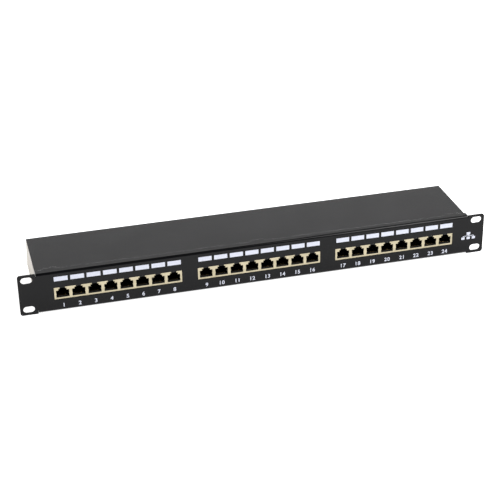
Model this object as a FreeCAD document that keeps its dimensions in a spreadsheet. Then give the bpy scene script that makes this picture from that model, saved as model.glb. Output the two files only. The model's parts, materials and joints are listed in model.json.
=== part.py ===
import FreeCAD, Part
import os
import Sketcher

# Shielded rack patch panel, one rack unit high, 24 modular sockets in three blocks of eight.
# +X runs along the panel, +Y into the rack, +Z up.  The origin is the centre of the rack
# slot pattern on the mounting plane, the back face of the ears.  All sizes are millimetres.

DIMENSIONS = [
    # front panel, a folded steel channel with a rack ear at each end
    ("panel_width", 482.6), ("panel_height", 43.6), ("panel_sheet", 1.5), ("ear_corner", 2.8),
    ("rack_pitch_x", 465.1), ("rack_pitch_z", 31.75), ("slot_length", 11.4), ("slot_width", 7.0),
    ("fold_length", 447.0), ("fold_height", 43.2), ("fold_radius", 2.8), ("fold_inner", 1.3),
    ("relief_width", 0.2), ("relief_depth", 3.2),
    ("flange_reach", 6.7), ("tab_reach", 9.7), ("tab_root", 16.0), ("tab_tip", 11.0),
    ("tab_pitch", 208.4),
    ("window_width", 127.4), ("window_top", 4.1), ("window_bottom", -9.05),
    ("block_pitch", 143.4), ("port_pitch", 15.8),
    # white writing fields above the windows
    ("label_width", 13.5), ("label_height", 4.75), ("label_base", 11.3), ("label_pitch", 16.03),
    ("label_film", 0.1),
    # tray, a zinc plated steel channel that closes the underside and both ends
    ("tray_width", 446.8), ("tray_sheet", 1.0), ("tray_front", 1.0), ("tray_rear", 100.0),
    ("tray_base", -19.9),
    ("wall_top", 18.7), ("lip_width", 8.0), ("bend_outer", 1.5), ("bend_inner", 0.5),
    ("lip_end", 78.2), ("wall_rear_top", 81.7), ("wall_rear_foot", 99.0),
    ("comb_root", 88.5), ("comb_neck", 5.0), ("comb_head", 10.0), ("comb_head_length", 4.5),
    ("comb_group", 127.0),
    ("lug_inner", 206.0), ("lug_base", 8.0), ("lug_top", 16.9), ("lug_front", 79.2),
    ("cover_screw_x", 213.0), ("cover_screw_z", 13.6), ("screw_running", 1.8),
    # top cover, a black sheet with one fold at the rear
    ("cover_sheet", 1.0), ("cover_top", 19.8), ("cover_front", 2.5), ("cover_rear", 81.7),
    ("cover_fold", 9.0), ("cover_fold_half", 220.5), ("cover_fold_radius", 1.2),
    ("cover_fold_inner", 0.2),
    # M3 screws
    ("screw_radius", 1.5), ("screw_fit", 1.55), ("head_radius", 2.8), ("head_height", 2.0),
    ("drive_width", 0.7), ("drive_span", 3.0), ("drive_depth", 1.1),
    ("cover_screw_length", 7.0), ("board_screw_length", 5.5), ("panel_screw_length", 2.5),
    ("panel_screw_y", 5.6),
    # circuit boards on pillars
    ("board_top", -8.95), ("board_thick", 1.6), ("board_half", 70.5), ("board_front", 2.0),
    ("board_rear", 60.0), ("pillar_x", 67.2), ("pillar_front", 12.5), ("pillar_rear", 54.0),
    ("pillar_radius", 2.9), ("pillar_foot", 2.0), ("pillar_foot_fit", 2.05),
    ("pillar_bore_depth", 6.0),
    # shield can of a socket block
    ("shield_half", 63.6), ("shield_top", 4.0), ("shield_front", -1.0), ("shield_rear", 19.0),
    ("shield_sheet", 0.3), ("shield_lip", 3.0),
    # socket opening, from the plug's wide foot up to its latch
    ("mouth_half", 6.45), ("mouth_base", -7.15), ("mouth_shoulder", 0.55), ("step_half", 4.05),
    ("step_top", 2.45), ("latch_half", 2.7), ("latch_top", 3.2),
    ("finger_base", -4.3), ("finger_top", -2.7), ("finger_reach", 0.3),
    # housing inside the can
    ("housing_gap", 0.1), ("housing_rear", 18.6), ("cavity_depth", 14.0),
    ("channel_half", 4.2), ("channel_front", 1.2), ("channel_rear", 17.2),
    ("channel_base", -8.4), ("channel_roof", -6.9), ("tail_front", 15.4),
    ("ridge_front", 0.4), ("ridge_rear", 1.15), ("ridge_crest", -6.35),
    # gold wires of a socket
    ("wire_width", 0.35), ("wire_thick", 0.3), ("wire_pitch", 1.02), ("wire_floor", -8.1),
    ("wire_nose", 1.4), ("wire_bend", -6.0), ("wire_tail", 16.3), ("wire_tip_y", 9.6),
    ("wire_tip_z", -3.7),
    # insulation displacement strips
    ("strip_half", 63.3), ("strip_front", 32.0), ("strip_rear", 56.0), ("strip_base_top", -4.0),
    ("ridge_half", 4.0), ("ridge_crest_half", 2.0), ("ridge_shoulder", 3.4), ("ridge_top", 5.4),
    ("front_ridge", 38.0), ("rear_ridge", 50.0), ("clip_pitch", 3.9), ("clip_half", 1.3),
    ("clip_thick", 0.5), ("clip_slit", 0.5), ("clip_base", -5.4), ("clip_top", 4.4),
    ("clip_slit_base", -1.0), ("wire_slot", 0.9), ("wire_slot_base", -1.2),
    # earthing stud on the tray floor, behind the cover
    ("stud_x", 71.7), ("stud_y", 92.5), ("stud_radius", 1.8), ("stud_fit", 2.05),
    ("stud_top", -6.0), ("stud_end_radius", 2.0), ("washer_radius", 4.5), ("washer_thick", 0.8),
    ("nut_radius", 4.04), ("nut_height", 3.2),
]

PORTS = 8
WIRES = 8
BLOCKS = (-1, 0, 1)
SIDES = (-1, 1)


def make_sheet(document):
    """Puts every driving dimension in a spreadsheet cell with its own name."""
    sheet = document.addObject("Spreadsheet::Sheet", "dims")
    for row, (name, value) in enumerate(DIMENSIONS, start=1):
        sheet.set(f"A{row}", name)
        sheet.set(f"B{row}", str(value))
        sheet.setAlias(f"B{row}", name)
    document.recompute()


def new_body(document, label, x="0"):
    """Starts one sub-part, placed along X by a dimension."""
    body = document.addObject("PartDesign::Body", label)
    body.Label = label
    if x != "0":
        body.setExpression("Placement.Base.x", x)
    return body


def origin_item(body, role):
    """One origin plane or axis of a body."""
    return next(item for item in body.Origin.OriginFeatures if item.Role == role)


def new_sketch(body, name, role, offset="0"):
    """Opens a sketch parallel to an origin plane, a stated distance along the plane's normal."""
    sketch = body.newObject("Sketcher::SketchObject", name)
    sketch.AttachmentSupport = [(origin_item(body, role), "")]
    sketch.MapMode = "FlatFace"
    if offset != "0":
        sketch.setExpression("AttachmentOffset.Base.z", offset)
    return sketch


def front_sketch(body, name, y="0"):
    """A sketch of X and Z on the plane at the stated Y."""
    return new_sketch(body, name, "XZ_Plane", "0" if y == "0" else f"-({y})")


def plan_sketch(body, name, z="0"):
    """A sketch of X and Y on the plane at the stated Z."""
    return new_sketch(body, name, "XY_Plane", z)


def side_sketch(body, name):
    """A sketch of Y and Z on the centre plane."""
    return new_sketch(body, name, "YZ_Plane")


def pin_point(sketch, geometry, point, across, up):
    """Holds one point of a sketch at two expressions."""
    for kind, text in (("DistanceX", across), ("DistanceY", up)):
        value = float(sketch.evalExpression(text))
        index = sketch.addConstraint(Sketcher.Constraint(kind, -1, 1, geometry, point, value))
        sketch.setExpression(f"Constraints[{index}]", text)


def outline(sketch, corners):
    """Draws a closed polygon whose corners are pairs of expressions."""
    first = sketch.GeometryCount
    points = [
        FreeCAD.Vector(float(sketch.evalExpression(across)), float(sketch.evalExpression(up)), 0)
        for across, up in corners
    ]
    count = len(points)
    for index in range(count):
        line = Part.LineSegment(points[index], points[(index + 1) % count])
        sketch.addGeometry(line, False)
    for index in range(count):
        following = first + (index + 1) % count
        sketch.addConstraint(Sketcher.Constraint("Coincident", first + index, 2, following, 1))
    for index, (across, up) in enumerate(corners):
        pin_point(sketch, first + index, 1, across, up)


def rectangle(sketch, left, right, low, high):
    """Draws a rectangle between four expressions."""
    outline(sketch, [(left, low), (right, low), (right, high), (left, high)])


def circle(sketch, across, up, radius):
    """Draws a circle with its centre and radius held by expressions."""
    centre = FreeCAD.Vector(
        float(sketch.evalExpression(across)), float(sketch.evalExpression(up)), 0
    )
    size = float(sketch.evalExpression(radius))
    ring = sketch.addGeometry(Part.Circle(centre, FreeCAD.Vector(0, 0, 1), size), False)
    index = sketch.addConstraint(Sketcher.Constraint("Radius", ring, size))
    sketch.setExpression(f"Constraints[{index}]", radius)
    pin_point(sketch, ring, 3, across, up)


def hexagon(sketch, across, up, radius):
    """Draws a hexagon, flats facing the second axis, with its corner radius in an expression."""
    turns = ((1, 0), (0.5, 0.8660254), (-0.5, 0.8660254), (-1, 0), (-0.5, -0.8660254),
             (0.5, -0.8660254))
    outline(sketch, [(f"{across} + {radius} * {a}", f"{up} + {radius} * {b}") for a, b in turns])


def cross(sketch, across, up):
    """Draws the plus-shaped recess of a screw head."""
    arm = "dims.drive_span / 2"
    half = "dims.drive_width / 2"
    steps = ((arm, half), (half, half), (half, arm))
    corners = []
    for sign_a, sign_b, order in ((1, 1, 1), (-1, 1, -1), (-1, -1, 1), (1, -1, -1)):
        for a, b in steps[::order]:
            corners.append((f"{across} + {sign_a} * {a}", f"{up} + {sign_b} * {b}"))
    outline(sketch, corners)


def pad(body, sketch, length, backwards=False, both=False):
    """Adds the sketch, swept along its normal or against it."""
    feature = body.newObject("PartDesign::Pad", f"{sketch.Name}_pad")
    feature.Profile = sketch
    feature.setExpression("Length", length)
    feature.Reversed = backwards
    feature.Midplane = both
    body.Document.recompute()
    return feature


def pocket(body, sketch, length=None, backwards=False):
    """Removes the sketch, to a depth against its normal, or right through both ways."""
    feature = body.newObject("PartDesign::Pocket", f"{sketch.Name}_cut")
    feature.Profile = sketch
    feature.Reversed = backwards
    if length is None:
        feature.Type = "ThroughAll"
        feature.Midplane = True
    else:
        feature.setExpression("Length", length)
    body.Document.recompute()
    return feature


def fillet(body, radius, chosen):
    """Rounds the edges of the body's last feature that pass the test."""
    last = body.Tip
    edges = [f"Edge{i}" for i, edge in enumerate(last.Shape.Edges, start=1) if chosen(edge)]
    feature = body.newObject("PartDesign::Fillet", f"{last.Name}_round")
    feature.Base = (last, edges)
    feature.setExpression("Radius", radius)
    body.Document.recompute()
    return feature


def straight_along(edge, axis):
    """True if an edge runs along one axis only."""
    box = edge.BoundBox
    spans = {"X": box.XLength, "Y": box.YLength, "Z": box.ZLength}
    return spans[axis] > 0.1 and sum(spans.values()) - spans[axis] < 1e-4


def close(first, second):
    """True if two lengths agree."""
    return abs(first - second) < 0.01


def row(body, feature, axis, length, count, whole=False):
    """Repeats a feature, or the whole body so far, along an axis over a total length."""
    pattern = body.newObject("PartDesign::LinearPattern", f"{feature.Name}_row")
    if whole:
        pattern.TransformMode = "Whole shape"
    else:
        pattern.Originals = [feature]
    pattern.Direction = (origin_item(body, axis), [""])
    pattern.setExpression("Length", length)
    pattern.Occurrences = count
    body.Tip = pattern
    body.Document.recompute()
    return pattern


def grid(body, features, steps):
    """Repeats features along X in rows of rows."""
    multiple = body.newObject("PartDesign::MultiTransform", f"{features[0].Name}_grid")
    multiple.Originals = features
    members = []
    for length, count in steps:
        step = body.newObject("PartDesign::LinearPattern", f"{features[0].Name}_step")
        step.Direction = (origin_item(body, "X_Axis"), [""])
        step.setExpression("Length", length)
        step.Occurrences = count
        members.append(step)
    multiple.Transformations = members
    body.Tip = multiple
    body.Document.recompute()
    return multiple


def make_front_panel(document):
    """Folded steel face with windows, slotted ears and tabbed flanges."""
    body = new_body(document, "front_panel")
    top = "dims.fold_height / 2"
    inside = "(dims.fold_height / 2 - dims.panel_sheet)"
    section = side_sketch(body, "panel_section")
    outline(section, [
        ("-dims.panel_sheet", f"-{top}"), ("dims.flange_reach", f"-{top}"),
        ("dims.flange_reach", f"-{inside}"), ("0", f"-{inside}"),
        ("0", inside), ("dims.flange_reach", inside),
        ("dims.flange_reach", top), ("-dims.panel_sheet", top),
    ])
    pad(body, section, "dims.fold_length", both=True)
    height = float(section.evalExpression(top))
    sheet = float(section.evalExpression("dims.panel_sheet"))
    fillet(body, "dims.fold_radius", lambda edge: straight_along(edge, "X")
           and close(edge.CenterOfMass.y, -sheet) and close(abs(edge.CenterOfMass.z), height))
    fillet(body, "dims.fold_inner", lambda edge: straight_along(edge, "X")
           and close(edge.CenterOfMass.y, 0) and close(abs(edge.CenterOfMass.z), height - sheet))
    ears = front_sketch(body, "panel_ears")
    for side in SIDES:
        root = f"{side} * (dims.fold_length / 2 - 8)"
        neck = f"{side} * (dims.fold_length / 2 + dims.relief_width)"
        end = f"{side} * dims.panel_width / 2"
        edge_z = "dims.panel_height / 2"
        neck_z = "(dims.fold_height / 2 - dims.relief_depth)"
        outline(ears, [
            (root, f"-{neck_z}"), (neck, f"-{neck_z}"), (neck, f"-{edge_z}"), (end, f"-{edge_z}"),
            (end, edge_z), (neck, edge_z), (neck, neck_z), (root, neck_z),
        ])
    pad(body, ears, "dims.panel_sheet")
    half = float(ears.evalExpression("dims.panel_width / 2"))
    fillet(body, "dims.ear_corner", lambda edge: straight_along(edge, "Y")
           and close(abs(edge.CenterOfMass.x), half))
    cut_windows(body)
    cut_rack_slots(body)
    add_tabs(body)
    return body


def cut_windows(body):
    """Three windows, one for each socket block."""
    windows = front_sketch(body, "panel_windows")
    for block in BLOCKS:
        centre = f"{block} * dims.block_pitch"
        rectangle(windows, f"{centre} - dims.window_width / 2", f"{centre} + dims.window_width / 2",
                  "dims.window_bottom", "dims.window_top")
    pocket(body, windows)


def cut_rack_slots(body):
    """Four slots with round ends, each a rectangle and two circles cut in turn."""
    straight = "(dims.slot_length - dims.slot_width) / 2"
    middles = front_sketch(body, "slot_middles")
    for side in SIDES:
        for level in SIDES:
            x = f"{side} * dims.rack_pitch_x / 2"
            z = f"{level} * dims.rack_pitch_z / 2"
            rectangle(middles, f"{x} - {straight}", f"{x} + {straight}",
                      f"{z} - dims.slot_width / 2", f"{z} + dims.slot_width / 2")
    pocket(body, middles)
    for name, sign in (("slot_left_ends", -1), ("slot_right_ends", 1)):
        ends = front_sketch(body, name)
        for side in SIDES:
            for level in SIDES:
                circle(ends, f"{side} * dims.rack_pitch_x / 2 + {sign} * {straight}",
                       f"{level} * dims.rack_pitch_z / 2", "dims.slot_width / 2")
        pocket(body, ends)


def add_tabs(body):
    """Three tapered tabs on the rear edge of each flange, the lower ones tapped for screws."""
    for name, level in (("upper_tabs", "dims.fold_height / 2 - dims.panel_sheet"),
                        ("lower_tabs", "-dims.fold_height / 2")):
        tabs = plan_sketch(body, name, level)
        for place in BLOCKS:
            x = f"{place} * dims.tab_pitch"
            root = "dims.flange_reach - 1"
            outline(tabs, [
                (f"{x} - dims.tab_root / 2", root), (f"{x} + dims.tab_root / 2", root),
                (f"{x} + dims.tab_root / 2", "dims.flange_reach"),
                (f"{x} + dims.tab_tip / 2", "dims.tab_reach"),
                (f"{x} - dims.tab_tip / 2", "dims.tab_reach"),
                (f"{x} - dims.tab_root / 2", "dims.flange_reach"),
            ])
        pad(body, tabs, "dims.panel_sheet")
    taps = plan_sketch(body, "tapped_holes", "-dims.fold_height / 2 + dims.panel_sheet")
    for place in BLOCKS:
        circle(taps, f"{place} * dims.tab_pitch", "dims.panel_screw_y", "dims.screw_fit")
    pocket(body, taps, "dims.panel_sheet")


def make_label_fields(document):
    """White writing fields, one above each socket."""
    body = new_body(document, "label_fields")
    field = front_sketch(body, "label_field", "-dims.panel_sheet")
    left = "-dims.block_pitch - 3.5 * dims.label_pitch"
    rectangle(field, f"{left} - dims.label_width / 2", f"{left} + dims.label_width / 2",
              "dims.label_base", "dims.label_base + dims.label_height")
    film = pad(body, field, "dims.label_film")
    line = row(body, film, "X_Axis", f"{PORTS - 1} * dims.label_pitch", PORTS, whole=True)
    row(body, line, "X_Axis", "2 * dims.block_pitch", 3, whole=True)
    return body


def make_tray(document):
    """Zinc plated channel with inward lips, a slanted rear, a cable comb and two screw lugs."""
    body = new_body(document, "tray")
    side = "dims.tray_width / 2"
    inner = "(dims.tray_width / 2 - dims.tray_sheet)"
    lip = "(dims.tray_width / 2 - dims.lip_width)"
    floor_top = "dims.tray_base + dims.tray_sheet"
    lip_base = "dims.wall_top - dims.tray_sheet"
    section = front_sketch(body, "tray_section", "dims.tray_front")
    outline(section, [
        (f"-{side}", "dims.tray_base"), (side, "dims.tray_base"), (side, "dims.wall_top"),
        (lip, "dims.wall_top"), (lip, lip_base), (inner, lip_base), (inner, floor_top),
        (f"-{inner}", floor_top), (f"-{inner}", lip_base), (f"-{lip}", lip_base),
        (f"-{lip}", "dims.wall_top"), (f"-{side}", "dims.wall_top"),
    ])
    pad(body, section, "dims.tray_rear - dims.tray_front", backwards=True)
    half = float(section.evalExpression(side))
    within = float(section.evalExpression(inner))
    fillet(body, "dims.bend_outer", lambda edge: straight_along(edge, "Y")
           and close(abs(edge.CenterOfMass.x), half))
    fillet(body, "dims.bend_inner", lambda edge: straight_along(edge, "Y")
           and close(abs(edge.CenterOfMass.x), within))
    slant = side_sketch(body, "rear_slant")
    above = "dims.wall_top + 2"
    behind = "dims.tray_rear + 2"
    low = "dims.tray_base + dims.bend_outer"
    outline(slant, [
        ("dims.wall_rear_top", above), (behind, above), (behind, low),
        ("dims.wall_rear_foot", low), ("dims.wall_rear_top", "dims.wall_top"),
    ])
    pocket(body, slant)
    trim_lips(body)
    add_lugs(body)
    cut_comb(body)
    drill_floor(body)
    return body


def trim_lips(body):
    """Ends both lips in front of the cover's rear fold."""
    trim = plan_sketch(body, "lip_trim", "dims.wall_top + 1")
    for side in SIDES:
        rectangle(trim, f"{side} * (dims.tray_width / 2 - dims.lip_width - 1)",
                  f"{side} * (dims.tray_width / 2 - dims.tray_sheet)",
                  "dims.lip_end", "dims.tray_rear")
    pocket(body, trim, "1 + dims.tray_sheet + dims.bend_inner")


def add_lugs(body):
    """Two ears folded in from the walls, drilled for the cover's screws."""
    lugs = front_sketch(body, "cover_lugs", "dims.lug_front")
    for side in SIDES:
        rectangle(lugs, f"{side} * dims.lug_inner",
                  f"{side} * (dims.tray_width / 2 - dims.tray_sheet / 2)",
                  "dims.lug_base", "dims.lug_top")
    pad(body, lugs, "dims.tray_sheet", backwards=True)
    holes = front_sketch(body, "lug_holes", "dims.lug_front")
    for side in SIDES:
        circle(holes, f"{side} * dims.cover_screw_x", "dims.cover_screw_z", "dims.screw_running")
    pocket(body, holes, "dims.tray_sheet")


def cut_comb(body):
    """A row of T-shaped tongues for cable ties, one behind each socket."""
    gap = plan_sketch(body, "comb_gap", "dims.tray_base + dims.tray_sheet")
    for block in BLOCKS:
        x = f"{block} * dims.block_pitch"
        rectangle(gap, f"{x} - dims.comb_group / 2", f"{x} + dims.comb_group / 2",
                  "dims.comb_root", "dims.tray_rear + 1")
    pocket(body, gap, "dims.tray_sheet")
    tongue = plan_sketch(body, "comb_tongue", "dims.tray_base")
    x = "-dims.block_pitch - 3.5 * dims.port_pitch"
    neck = "dims.comb_neck / 2"
    head = "dims.comb_head / 2"
    step = "dims.tray_rear - dims.comb_head_length"
    outline(tongue, [
        (f"{x} - {neck}", "dims.comb_root - 1"), (f"{x} + {neck}", "dims.comb_root - 1"),
        (f"{x} + {neck}", step), (f"{x} + {head}", step), (f"{x} + {head}", "dims.tray_rear"),
        (f"{x} - {head}", "dims.tray_rear"), (f"{x} - {head}", step), (f"{x} - {neck}", step),
    ])
    first = pad(body, tongue, "dims.tray_sheet")
    grid(body, [first], (("7 * dims.port_pitch", PORTS), ("2 * dims.block_pitch", 3)))


def drill_floor(body):
    """Holes in the floor for the pillars' feet, the panel screws and the earthing stud."""
    holes = plan_sketch(body, "floor_holes", "dims.tray_base + dims.tray_sheet")
    for x, y in pillar_places():
        circle(holes, x, y, "dims.pillar_foot_fit")
    for place in BLOCKS:
        circle(holes, f"{place} * dims.tab_pitch", "dims.panel_screw_y", "dims.screw_fit")
    circle(holes, "dims.stud_x", "dims.stud_y", "dims.stud_fit")
    pocket(body, holes, "dims.tray_sheet")


def pillar_places():
    """Centres of the twelve pillars, four under each board."""
    return [
        (f"{block} * dims.block_pitch + {side} * dims.pillar_x", y)
        for block in BLOCKS
        for side in SIDES
        for y in ("dims.pillar_front", "dims.pillar_rear")
    ]


def make_pillars(document):
    """Hexagonal pillars with a foot pressed in the floor and a blind bore on top."""
    body = new_body(document, "board_pillars")
    shafts = plan_sketch(body, "pillar_shafts", "dims.tray_base + dims.tray_sheet")
    feet = plan_sketch(body, "pillar_feet", "dims.tray_base")
    bores = plan_sketch(body, "pillar_bores", "dims.board_top - dims.board_thick")
    for x, y in pillar_places():
        hexagon(shafts, x, y, "dims.pillar_radius")
        circle(feet, x, y, "dims.pillar_foot")
        circle(bores, x, y, "dims.screw_fit")
    pad(body, shafts, "dims.board_top - dims.board_thick - dims.tray_base - dims.tray_sheet")
    pad(body, feet, "dims.tray_sheet")
    pocket(body, bores, "dims.pillar_bore_depth")
    return body


def make_upright_screws(document, label, places, seat, length):
    """A group of pan head screws that point down from a seat."""
    body = new_body(document, label)
    heads = plan_sketch(body, f"{label}_heads", seat)
    shanks = plan_sketch(body, f"{label}_shanks", f"{seat} - {length}")
    drives = plan_sketch(body, f"{label}_drives", f"{seat} + dims.head_height")
    for x, y in places:
        circle(heads, x, y, "dims.head_radius")
        circle(shanks, x, y, "dims.screw_radius")
        cross(drives, x, y)
    pad(body, heads, "dims.head_height")
    pad(body, shanks, length)
    pocket(body, drives, "dims.drive_depth")
    return body


def make_cover_screws(document):
    """Two pan head screws that point forwards through the cover's rear fold."""
    body = new_body(document, "cover_screws")
    heads = front_sketch(body, "cover_heads", "dims.cover_rear")
    shanks = front_sketch(body, "cover_shanks", "dims.cover_rear")
    drives = front_sketch(body, "cover_drives", "dims.cover_rear + dims.head_height")
    for side in SIDES:
        x = f"{side} * dims.cover_screw_x"
        circle(heads, x, "dims.cover_screw_z", "dims.head_radius")
        circle(shanks, x, "dims.cover_screw_z", "dims.screw_radius")
        cross(drives, x, "dims.cover_screw_z")
    pad(body, heads, "dims.head_height", backwards=True)
    pad(body, shanks, "dims.cover_screw_length")
    pocket(body, drives, "dims.drive_depth", backwards=True)
    return body


def make_top_cover(document):
    """Flat cover that slides under the panel's upper flange and folds down at the rear."""
    body = new_body(document, "top_cover")
    under = "dims.cover_top - dims.cover_sheet"
    front = "dims.cover_rear - dims.cover_sheet"
    foot = "dims.cover_top - dims.cover_fold"
    section = side_sketch(body, "cover_section")
    outline(section, [
        ("dims.cover_front", under), (front, under), (front, foot),
        ("dims.cover_rear", foot), ("dims.cover_rear", "dims.cover_top"),
        ("dims.cover_front", "dims.cover_top"),
    ])
    pad(body, section, "dims.tray_width", both=True)
    rear = float(section.evalExpression("dims.cover_rear"))
    top = float(section.evalExpression("dims.cover_top"))
    sheet = float(section.evalExpression("dims.cover_sheet"))
    fillet(body, "dims.cover_fold_radius", lambda edge: straight_along(edge, "X")
           and close(edge.CenterOfMass.y, rear) and close(edge.CenterOfMass.z, top))
    fillet(body, "dims.cover_fold_inner", lambda edge: straight_along(edge, "X")
           and close(edge.CenterOfMass.y, rear - sheet)
           and close(edge.CenterOfMass.z, top - sheet))
    trim = front_sketch(body, "fold_trim", "dims.cover_rear - 3")
    for side in SIDES:
        rectangle(trim, f"{side} * dims.cover_fold_half", f"{side} * (dims.tray_width / 2 + 1)",
                  f"{foot} - 1", f"{under} - 0.2")
    pocket(body, trim, "4")
    holes = front_sketch(body, "fold_holes", "dims.cover_rear - 3")
    for side in SIDES:
        circle(holes, f"{side} * dims.cover_screw_x", "dims.cover_screw_z", "dims.screw_fit")
    pocket(body, holes, "4")
    return body


def block_x(block):
    """Centre of a socket block along the panel."""
    return f"{block} * dims.block_pitch"


def mouth_corners(top, bump):
    """Corners of a stepped socket opening, with or without the earthing fingers at its sides."""
    right = [("dims.mouth_half", "dims.mouth_base")]
    if bump:
        right += [
            ("dims.mouth_half", "dims.finger_base"),
            ("dims.mouth_half - dims.finger_reach", "dims.finger_base + 0.3"),
            ("dims.mouth_half - dims.finger_reach", "dims.finger_top - 0.3"),
            ("dims.mouth_half", "dims.finger_top"),
        ]
    right += [
        ("dims.mouth_half", "dims.mouth_shoulder"), ("dims.step_half", "dims.mouth_shoulder"),
        ("dims.step_half", "dims.step_top"), ("dims.latch_half", "dims.step_top"),
        ("dims.latch_half", top),
    ]
    left = [(f"-({across})", up) for across, up in reversed(right)]
    first = "-3.5 * dims.port_pitch"
    return [(f"{first} + {across}", up) for across, up in right + left]


def make_shield(document, number, block):
    """Tinned can over a socket block, open behind and below."""
    body = new_body(document, f"jack_shield_{number}", block_x(block))
    outer = front_sketch(body, "can_outer", "dims.shield_front")
    rectangle(outer, "-dims.shield_half", "dims.shield_half", "dims.board_top", "dims.shield_top")
    pad(body, outer, "dims.shield_rear - dims.shield_front", backwards=True)
    inner_y = "dims.shield_front + dims.shield_sheet"
    inside = "(dims.shield_half - dims.shield_sheet)"
    inner = front_sketch(body, "can_inner", inner_y)
    rectangle(inner, f"-{inside}", inside, "dims.board_top + dims.shield_sheet",
              "dims.shield_top - dims.shield_sheet")
    pocket(body, inner, f"dims.shield_rear - ({inner_y})")
    under = front_sketch(body, "can_under", "dims.shield_front + dims.shield_lip")
    rectangle(under, f"-{inside}", inside, "dims.board_top - 1",
              "dims.board_top + 2 * dims.shield_sheet")
    pocket(body, under, "dims.shield_rear - dims.shield_front")
    mouth = front_sketch(body, "can_mouth", "dims.shield_front")
    outline(mouth, mouth_corners("dims.shield_top + 0.1", True))
    first = pocket(body, mouth, "dims.shield_sheet")
    row(body, first, "X_Axis", "7 * dims.port_pitch", PORTS)
    return body


def make_housing(document, number, block):
    """Black insulating block: eight stepped sockets, a channel and a ridge for their wires."""
    body = new_body(document, f"jack_housing_{number}", block_x(block))
    front = "dims.shield_front + dims.shield_sheet"
    lip = "dims.shield_front + dims.shield_lip + 0.1"
    over_lip = "dims.board_top + dims.shield_sheet"
    top = "dims.shield_top - dims.shield_sheet - dims.housing_gap"
    section = side_sketch(body, "housing_section")
    outline(section, [
        (front, over_lip), (lip, over_lip), (lip, "dims.board_top"),
        ("dims.housing_rear", "dims.board_top"), ("dims.housing_rear", top), (front, top),
    ])
    width = "2 * (dims.shield_half - dims.shield_sheet - dims.housing_gap)"
    pad(body, section, width, both=True)
    mouth = front_sketch(body, "housing_mouth", front)
    outline(mouth, mouth_corners("dims.latch_top", False))
    cavity = pocket(body, mouth, "dims.cavity_depth")
    channel = side_sketch(body, "wire_channel")
    channel.setExpression("AttachmentOffset.Base.z", "-3.5 * dims.port_pitch")
    outline(channel, [
        ("dims.channel_front", "dims.channel_base"), ("dims.tail_front", "dims.channel_base"),
        ("dims.tail_front", "dims.board_top - 1"), ("dims.channel_rear", "dims.board_top - 1"),
        ("dims.channel_rear", "dims.channel_roof"), ("dims.channel_front", "dims.channel_roof"),
    ])
    groove = body.newObject("PartDesign::Pocket", "wire_channel_cut")
    groove.Profile = channel
    groove.Midplane = True
    groove.setExpression("Length", "2 * dims.channel_half")
    document.recompute()
    grid(body, [cavity, groove], (("7 * dims.port_pitch", PORTS),))
    ridge = side_sketch(body, "wire_ridge")
    rectangle(ridge, "dims.ridge_front", "dims.ridge_rear", "dims.mouth_base - 0.3",
              "dims.ridge_crest")
    pad(body, ridge, width, both=True)
    return body


def make_contacts(document, number, block):
    """Eight gold spring wires in each socket of a block."""
    body = new_body(document, f"jack_contacts_{number}", block_x(block))
    wire = side_sketch(body, "wire_path")
    wire.setExpression("AttachmentOffset.Base.z", "-3.5 * dims.port_pitch - 3.5 * dims.wire_pitch")
    low = "dims.wire_floor"
    high = "dims.wire_floor + dims.wire_thick"
    tail_front = "dims.wire_tail - dims.wire_thick / 2"
    tail_rear = "dims.wire_tail + dims.wire_thick / 2"
    nose = "dims.wire_nose"
    bend = "dims.wire_bend"
    outline(wire, [
        (tail_front, "dims.board_top"), (tail_rear, "dims.board_top"), (tail_rear, high),
        (f"{nose} + 0.5", high), (f"{nose} + 0.3", f"{high} + 0.25"),
        (f"{nose} + 0.3", f"{bend} - 0.45"), (f"{nose} + 0.6", f"{bend} - 0.32"),
        ("dims.wire_tip_y + 0.1", "dims.wire_tip_z - 0.3"),
        ("dims.wire_tip_y", "dims.wire_tip_z"), (f"{nose} + 0.5", bend),
        (nose, f"{bend} - 0.4"), (nose, f"{low} + 0.3"), (f"{nose} + 0.3", low),
        (tail_front, low),
    ])
    first = pad(body, wire, "dims.wire_width", both=True)
    port = row(body, first, "X_Axis", "7 * dims.wire_pitch", WIRES, whole=True)
    row(body, port, "X_Axis", "7 * dims.port_pitch", PORTS, whole=True)
    return body


def make_board(document, number, block):
    """Glass fibre circuit board, drilled at its corners."""
    body = new_body(document, f"circuit_board_{number}", block_x(block))
    plate = plan_sketch(body, "board_plate", "dims.board_top - dims.board_thick")
    rectangle(plate, "-dims.board_half", "dims.board_half", "dims.board_front", "dims.board_rear")
    pad(body, plate, "dims.board_thick")
    holes = plan_sketch(body, "board_holes", "dims.board_top")
    for side in SIDES:
        for y in ("dims.pillar_front", "dims.pillar_rear"):
            circle(holes, f"{side} * dims.pillar_x", y, "dims.screw_fit")
    pocket(body, holes, "dims.board_thick")
    return body


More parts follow.
